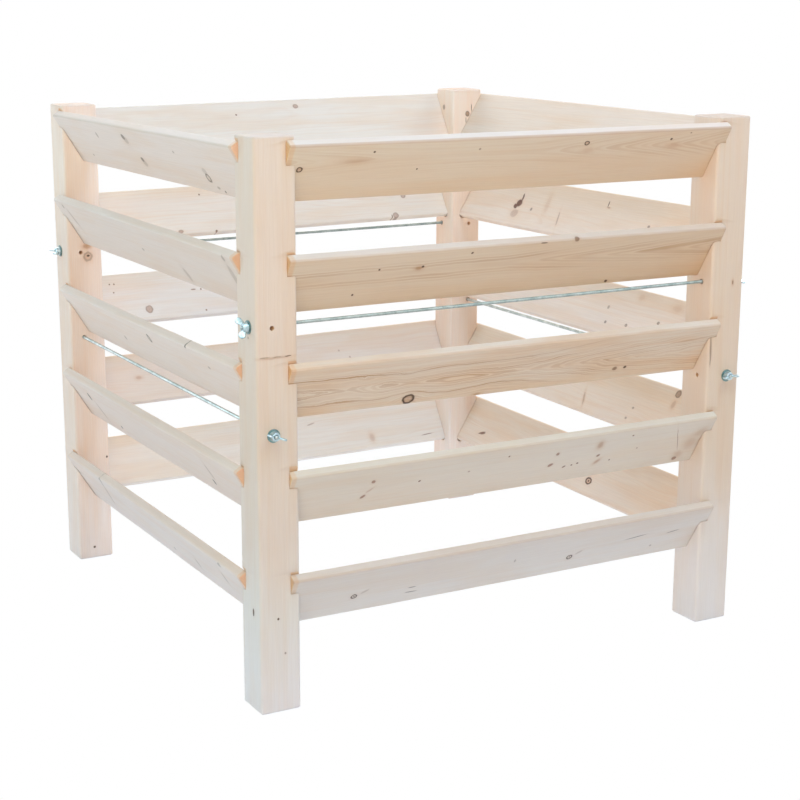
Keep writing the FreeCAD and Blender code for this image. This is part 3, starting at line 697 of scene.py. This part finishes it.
def cut(ob, tool):
    m = ob.modifiers.new("cut", "BOOLEAN")
    m.operation = "DIFFERENCE"
    m.solver = "EXACT"
    m.object = tool
    apply_modifiers(ob)
    me = tool.data
    bpy.data.objects.remove(tool)
    bpy.data.meshes.remove(me)


def post_body(x0, y0, foot, top):
    """A square post with eased edges and softened ends, before it is cut."""
    r, seg = 5.0, 7
    levels = [(0.0, 2.5), (0.2, 2.0), (1.0, 1.0), (2.0, 0.2), (2.5, 0.0)]
    n_mid = 60
    levels = [(foot + z, i) for z, i in levels]
    levels += [(foot + 2.5 + (top - foot - 5.0) * k / n_mid, 0.0) for k in range(1, n_mid)]
    levels += [(top + foot - z, i) for z, i in reversed(levels[:5])]
    verts, loop_n = [], 0
    for z, inset in levels:
        rr = max(r - inset, 1.6)
        loop = rounded_loop(POST - 2 * inset, POST - 2 * inset, rr, seg, 1e9, 1e9)
        loop_n = len(loop)
        verts += [(x0 + inset + a, y0 + inset + b, z) for a, b in loop]
    faces = [tuple(range(loop_n))]
    faces.append(tuple(range(len(verts) - loop_n, len(verts))))
    for i in range(len(levels) - 1):
        for k in range(loop_n):
            a, b = i * loop_n + k, i * loop_n + (k + 1) % loop_n
            faces.append((a, b, b + loop_n, a + loop_n))
    return verts, faces


SAWN = {"post_back_left": (0.0, 4.0), "post_front_right": (0.0, 2.0), "post_back_right": (3.0, 0.0)}  # short at the foot, at the top


def make_post(name, sx, sy, rng):
    x0 = min(sx * WIDTH / 2, sx * (WIDTH / 2 - POST))
    y0 = min(sy * DEPTH / 2, sy * (DEPTH / 2 - POST))
    foot, top = SAWN.get(name, (0.0, 0.0))
    top = HEIGHT - top
    ob = joined([post_body(x0, y0, foot, top)], "timber_" + name)
    depth = 15.5
    side = "front" if sy < 0 else "back"
    inner = sx * (WIDTH / 2 - POST)
    cut(ob, joined([prism(groove_points(side, i, inner - sx), (sx * (depth + 1), 0, 0)) for i in range(5)], "tool"))
    side = "left" if sx < 0 else "right"
    inner = sy * (DEPTH / 2 - POST)
    cut(ob, joined([prism(groove_points(side, i, inner - sy), (0, sy * (depth + 1), 0)) for i in range(5)], "tool"))
    hx, hy = sx * (WIDTH / 2 - ROD_INSET), sy * (DEPTH / 2 - ROD_INSET)
    up, low = ROD_UPPER + 0.45, ROD_LOWER + 0.45
    in_x, in_y = sx * (WIDTH / 2 - POST - 1), sy * (DEPTH / 2 - POST - 1)
    deep = POST + 2 if sx < 0 and sy < 0 else POST + 1 - 2.5
    cut(ob, joined([drill((sx * (WIDTH / 2 + 1), hy, up), (-sx, 0, 0), POST + 2, 3.5),
                    drill((in_x, hy, low), (sx, 0, 0), POST + 1 - 2.5, 3.5)], "tool"))
    cut(ob, joined([drill((hx, sy * (DEPTH / 2 + 1), low), (0, -sy, 0), POST + 2, 3.5),
                    drill((hx, in_y, up), (0, sy, 0), deep, 3.5)], "tool"))
    bev = ob.modifiers.new("ease", "BEVEL")
    bev.width = 0.0006
    bev.segments = 2
    bev.limit_method = "ANGLE"
    bev.angle_limit = math.radians(42)
    bev.use_clamp_overlap = True
    apply_modifiers(ob)
    me = ob.data
    me.materials.clear()
    me.materials.append(spruce("wood_" + name, 211.0 + 5.0 * sx + 17.0 * sy, end=(0.76, 0.73, 0.71), **POSTS[name]))
    co = coords(me) / MM
    local = np.stack([co[:, 2], co[:, 0] - hx, co[:, 1] - hy], 1)
    point_vectors(me, "wood", local)
    low, high = (foot + 4.0) * MM, (top - 4.0) * MM
    face_floats(me, "end", [0.0 if low < p.center.z < high or abs(p.normal.z) < 0.3 else 1.0 if abs(p.normal.z) > 0.95 else 0.35 for p in me.polygons])
    # the faces inside the post's square, of its grooves and holes, take the painted shade of those recesses
    cx, cy, reach = sx * (WIDTH - POST) / 2 * MM, sy * (DEPTH - POST) / 2 * MM, POST / 2 * MM - 0.0006
    face_floats(me, "cut", [1.0 if max(abs(p.center.x - cx), abs(p.center.y - cy)) < reach and low < p.center.z < high
                            and abs(p.center.x - cx) + abs(p.center.y - cy) < 2 * reach - 0.0028 else 0.0 for p in me.polygons])
    sharp_by_angle(me, 32)
    weighted(ob)
    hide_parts(name)
    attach(ob, "frame")
    return ob


rng = random.Random(4711)
for sx, a in ((-1, "left"), (1, "right")):
    for sy, b in ((-1, "front"), (1, "back")):
        make_post("post_%s_%s" % (b, a), sx, sy, rng)
for side in SIDES:
    for level in range(5):
        make_slat(side, level, rng)


# ---- rods, washers and wing nuts -----------------------------------------------------
# The same zinc in two copies: the left and right rods take a lighter one, a painted reflection of the white
# surroundings they mirror; the front and back rods a darker one, also painted shade for the grooves of the thread.
RODS = zinc("rod_plate", 1.0, (0.46, 0.535, 0.545), (0.31, 0.39, 0.40), 0.34, 0.5, 60.0)
RODS_PAINTED_BRIGHT = zinc("rod_plate_painted_bright", 4.0, (0.66, 0.71, 0.70), (0.46, 0.52, 0.51), 0.3, 0.45, 60.0)
# the washers' plate is darker than the nuts': the plating's own blue-green, darkened as a painted reflection of the
# dark surroundings the washers mirror
DISCS = zinc("washer_plate", 2.0, (0.24, 0.36, 0.36), (0.13, 0.22, 0.22), 0.2, 0.36, 150.0, 0.3)
NUTS = zinc("nut_plate", 3.0, (0.62, 0.75, 0.80), (0.40, 0.54, 0.60), 0.24, 0.4, 170.0, 0.35)


def thread_mesh(half):
    """A threaded rod along +X with its helical thread, 6 mm across and 1 mm to a turn."""
    pitch, big, small = 1.0, 2.66, 2.32
    n, per = 14, 4
    rings = int(2 * half / pitch * per)
    verts = []
    for i in range(rings + 1):
        x = -half + 2 * half * i / rings
        edge = min(i, rings - i) / per
        for k in range(n):
            f = (x / pitch - k / n) % 1.0
            r = small + (big - small) * min(1.0, max(0.0, abs(2 * f - 1) * 1.35 - 0.15))
            r = min(r, 2.25 + edge * 0.6)
            a = 2 * math.pi * k / n
            verts.append((x * MM, r * math.cos(a) * MM, r * math.sin(a) * MM))
    faces = [tuple(range(n - 1, -1, -1)), tuple(range(rings * n, rings * n + n))]
    for i in range(rings):
        for k in range(n):
            a, b = i * n + k, i * n + (k + 1) % n
            faces.append((a, a + n, b + n, b))
    return verts, faces


tv, tf = thread_mesh(WIDTH / 2 + 11.9)
for name, kind, sign in (("rod_front", "x", -1), ("rod_back", "x", 1), ("rod_left", "y", -1), ("rod_right", "y", 1)):
    ob = mesh_object("threaded_" + name, tv, tf, [RODS if kind == "x" else RODS_PAINTED_BRIGHT])
    outward(ob)
    if kind == "x":
        m = Matrix.Translation((0, sign * (DEPTH / 2 - ROD_INSET) * MM, ROD_UPPER * MM))
    else:
        m = Matrix.Translation((sign * (WIDTH / 2 - ROD_INSET) * MM, 0, ROD_LOWER * MM)) @ Matrix.Rotation(math.pi / 2, 4, "Z")
    ob.data.transform(m)
    sharp_by_angle(ob.data, 80)
    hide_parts(name)
    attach(ob, "frame")


def lathe(profile, n):
    """A closed ring-shaped solid from (radius, height) points turned about +Z."""
    verts, faces, m = [], [], len(profile)
    for k in range(n):
        a = 2 * math.pi * k / n
        verts += [(r * math.cos(a), r * math.sin(a), z) for r, z in profile]
    for k in range(n):
        j = (k + 1) % n
        faces += [(k * m + i, j * m + i, j * m + (i + 1) % m, k * m + (i + 1) % m) for i in range(m)]
    return verts, faces


def turned(profile, n):
    """A solid turned about +Z from (radius, height) points, with a flat face at each end."""
    m = len(profile)
    verts, faces = lathe(profile, n)
    faces = [f for i, f in enumerate(faces) if i % m < m - 1]
    return verts, faces + [tuple(k * m for k in range(n - 1, -1, -1)), tuple(k * m + m - 1 for k in range(n))]


def arc(cx, cz, r, a0, a1, n):
    return [(cx + r * math.cos(math.radians(a0 + (a1 - a0) * k / n)),
             cz + r * math.sin(math.radians(a0 + (a1 - a0) * k / n))) for k in range(n + 1)]


def washer_shape():
    profile = [(3.13, 0.14), (3.25, 0.02)] + arc(9.72, 0.28, 0.26, -90, 0, 4)
    profile += arc(9.55, 1.14, 0.43, 0, 90, 6) + [(7.4, 1.585), (5.2, 1.56), (3.3, 1.56), (3.13, 1.44)]
    return joined([lathe(profile, 96)], "washer_shape")


def touch(px, pz, cx, cz, r, sign):
    dx, dz = cx - px, cz - pz
    d = math.hypot(dx, dz)
    a = math.atan2(dz, dx) + sign * math.asin(r / d)
    reach = math.sqrt(d * d - r * r)
    return px + reach * math.cos(a), pz + reach * math.sin(a)


def nut_shape():
    """A cast wing nut: a tapered hub and two wings with soft edges that run into it."""
    cx, cz, r, thick = 10.9, 10.9, 5.02, 2.7
    foot, neck = (3.6, 1.5), (3.6, 8.1)
    a, b = touch(*foot, cx, cz, r, -1), touch(*neck, cx, cz, r, 1)
    a0 = math.degrees(math.atan2(a[1] - cz, a[0] - cx))
    b0 = math.degrees(math.atan2(b[1] - cz, b[0] - cx))
    outline = [foot] + arc(cx, cz, r, a0, b0, 26) + [neck]
    parts = [turned(arc(7.35, 0.43, 0.4, -90, 0, 3) + arc(5.6, 7.7, 0.75, 10, 90, 4), 64)]
    for sign in (1, -1):
        loop = [(sign * x, -thick / 2, z) for x, z in outline]
        parts.append(prism(loop, (0, thick, 0)))
    ob = joined(parts, "nut_shape")
    ob.data.remesh_voxel_size = 0.36 * MM
    m = ob.modifiers.new("cast", "REMESH")
    m.mode = "VOXEL"
    m.voxel_size = 0.36 * MM
    s = ob.modifiers.new("soft", "SMOOTH")
    s.factor = 0.5
    s.iterations = 7
    apply_modifiers(ob)
    cut(ob, joined([turned([(3.12, -1.0), (3.12, 7.55), (3.75, 8.2), (3.75, 10.0)], 40)], "bore"))
    return ob


TURNS = {
    "front_rod_left": 59.0, "front_rod_right": 24.0, "back_rod_left": 10.0, "back_rod_right": 71.0,
    "left_rod_front": -20.0, "left_rod_back": 38.0, "right_rod_front": 2.0, "right_rod_back": -47.0,
}


def stand(origin, out, turn):
    """The placement of a shape made along +Z on a rod's end, turned about the rod."""
    ez = Vector(out)
    level = Vector((0, 1, 0)) if abs(ez.x) > 0.5 else Vector((1, 0, 0))
    ex = level * math.cos(math.radians(turn)) + Vector((0, 0, 1)) * math.sin(math.radians(turn))
    ey = ez.cross(ex)
    return Matrix.Translation(Vector(origin) * MM) @ Matrix((ex, ey, ez)).transposed().to_4x4()


ends = {}
for name, sign in (("front", -1), ("back", 1)):
    for a, sx in (("left", -1), ("right", 1)):
        ends["%s_rod_%s" % (name, a)] = ((sx * WIDTH / 2, sign * (DEPTH / 2 - ROD_INSET), ROD_UPPER), (sx, 0, 0))
for name, sign in (("left", -1), ("right", 1)):
    for a, sy in (("front", -1), ("back", 1)):
        ends["%s_rod_%s" % (name, a)] = ((sign * (WIDTH / 2 - ROD_INSET), sy * DEPTH / 2, ROD_LOWER), (0, sy, 0))

disc_shape, wing_shape = washer_shape(), nut_shape()
for end, (origin, out) in ends.items():
    for stem, shape, lift, turn, finish, slot in (("washer", disc_shape, 0.0, 0.0, DISCS, "washer_zinc"),
                                                  ("wing_nut", wing_shape, 1.6, TURNS[end], NUTS, "nut_zinc")):
        me = shape.data.copy()
        me.name = stem + "_piece_" + end
        ob = bpy.data.objects.new(me.name, me)
        bpy.context.scene.collection.objects.link(ob)
        me.transform(stand([c + o * lift for c, o in zip(origin, out)], out, turn))
        me.materials.clear()
        me.materials.append(finish)
        outward(ob)
        sharp_by_angle(me, 38)
        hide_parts("%s_%s" % (stem, end))
        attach(ob, "%s_%s" % (stem, end))
for shape in (disc_shape, wing_shape):
    me = shape.data
    bpy.data.objects.remove(shape)
    bpy.data.meshes.remove(me)


# ---- stage: a white table lit from above, in front of a white backdrop -----------------
def white(name, albedo, glow, tone=(1.0, 1.0, 1.0)):
    m = bpy.data.materials.new(name)
    m.use_nodes = True
    b = m.node_tree.nodes["Principled BSDF"]
    b.inputs["Base Color"].default_value = (albedo, albedo, albedo, 1)
    b.inputs["Roughness"].default_value = 1.0
    b.inputs["Specular IOR Level"].default_value = 0.0
    b.inputs["Emission Color"].default_value = (*tone, 1)
    b.inputs["Emission Strength"].default_value = glow
    return m


def disc(name, radius, z, material, n=96, inner=0.0):
    if inner:
        verts = [(r * math.cos(2 * math.pi * k / n), r * math.sin(2 * math.pi * k / n), z) for k in range(n) for r in (inner, radius)]
        faces = [(2 * k, 2 * k + 1, 2 * ((k + 1) % n) + 1, 2 * ((k + 1) % n)) for k in range(n)]
    else:
        verts = [(radius * math.cos(2 * math.pi * k / n), radius * math.sin(2 * math.pi * k / n), z) for k in range(n)]
        faces = [tuple(range(n))]
    ob = mesh_object(name, verts, faces, [material])
    return ob


def seen_only(ob):
    ob.visible_diffuse = ob.visible_transmission = False
    ob.visible_volume_scatter = ob.visible_shadow = False


seen_only(disc("floor", 60.0, -0.0004, white("floor_white", 0.0, 1.0)))
table = disc("table_glow", 0.9, -0.0008, white("table_white_near", 0.9, 0.296, (0.0, 0.402, 1.0)))
table_mid = disc("table", 2.0, -0.0008, white("table_white", 0.9, 0.0), inner=0.9)
table_far = disc("table_far", 40.0, -0.0008, white("table_white_far", 0.9, 0.166, (1.0, 0.512, 0.102)), inner=2.0)
for ob in (table, table_mid, table_far):
    ob.visible_camera = False
dome_verts, dome_faces = [], []
for i in range(13):
    lat = -0.2 + (math.pi / 2 + 0.2) * i / 12
    dome_verts += [(50 * math.cos(lat) * math.cos(2 * math.pi * k / 48), 50 * math.cos(lat) * math.sin(2 * math.pi * k / 48), 50 * math.sin(lat)) for k in range(48)]
for i in range(12):
    for k in range(48):
        j = (k + 1) % 48
        dome_faces.append((i * 48 + k, i * 48 + j, i * 48 + 48 + j, i * 48 + 48 + k))
dome = mesh_object("backdrop", dome_verts, dome_faces, [white("backdrop_white", 0.0, 1.0)])
seen_only(dome)

world = bpy.data.worlds.new("studio")
bpy.context.scene.world = world
world.use_nodes = True
world.node_tree.nodes["Background"].inputs["Color"].default_value = (1.0, 0.787, 0.754, 1)
world.node_tree.nodes["Background"].inputs["Strength"].default_value = 0.2178


def softbox(name, at, size, power, aim=(0, 0, 0.42)):
    top = max(power)
    lamp = bpy.data.lights.new(name, "AREA")
    lamp.shape = "SQUARE"
    lamp.size = size
    lamp.energy = 100.0 * top
    lamp.color = tuple(p / top for p in power)
    ob = bpy.data.objects.new(name, lamp)
    bpy.context.scene.collection.objects.link(ob)
    d = Vector(aim) - Vector(at)
    ob.matrix_world = Matrix.Translation(at) @ d.to_track_quat("-Z", "Y").to_matrix().to_4x4()
    ob.visible_camera = False
    return ob


softbox("top", (0, 0, 3.2), 2.5, (0.041, 0.017, 0.014))
softbox("top_front", (0, -1.8, 3.0), 1.4, (0.257, 0.339, 0.326))
softbox("back_high", (0.3, 3.0, 2.6), 2.0, (0.516, 0.467, 0.407))
softbox("front_left", (-2.0, -2.8, 1.4), 1.6, (0.29, 0.207, 0.121))
softbox("left_high", (-3.0, -0.3, 2.6), 2.0, (0.078, 0.25, 0.3))
softbox("back_left", (-2.8, 2.0, 1.4), 1.6, (0.167, 0.178, 0.198))
softbox("right_high", (3.0, 0.3, 2.6), 2.0, (0.599, 0.607, 0.578))
softbox("front_top", (0, -0.9, 2.6), 0.9, (0.0, 0.0096, 0.075), (0, -0.45, 0.5))

# ---- camera ----------------------------------------------------------------------------
az, el, roll = math.radians(27.985), math.radians(13.867), math.radians(-0.114)
look = Vector((math.sin(az) * math.cos(el), math.cos(az) * math.cos(el), -math.sin(el)))
right = Vector((math.cos(az), -math.sin(az), 0))
up = right.cross(look)
right, up = right * math.cos(roll) + up * math.sin(roll), up * math.cos(roll) - right * math.sin(roll)
cam_data = bpy.data.cameras.new("camera")
cam_data.sensor_width = 36.0
cam_data.lens = 77.068
cam_data.shift_x = 0.0557
cam_data.shift_y = 0.0129
cam_data.clip_start, cam_data.clip_end = 0.1, 120
cam = bpy.data.objects.new("camera", cam_data)
bpy.context.scene.collection.objects.link(cam)
cam.matrix_world = Matrix.Translation((-1.41487, -2.57416, 1.04419)) @ Matrix((right, up, -look)).transposed().to_4x4()
bpy.context.scene.camera = cam

view = bpy.context.scene.view_settings
view.view_transform = "Standard"
view.look = "None"
view.exposure = 0.0
view.gamma = 1.0
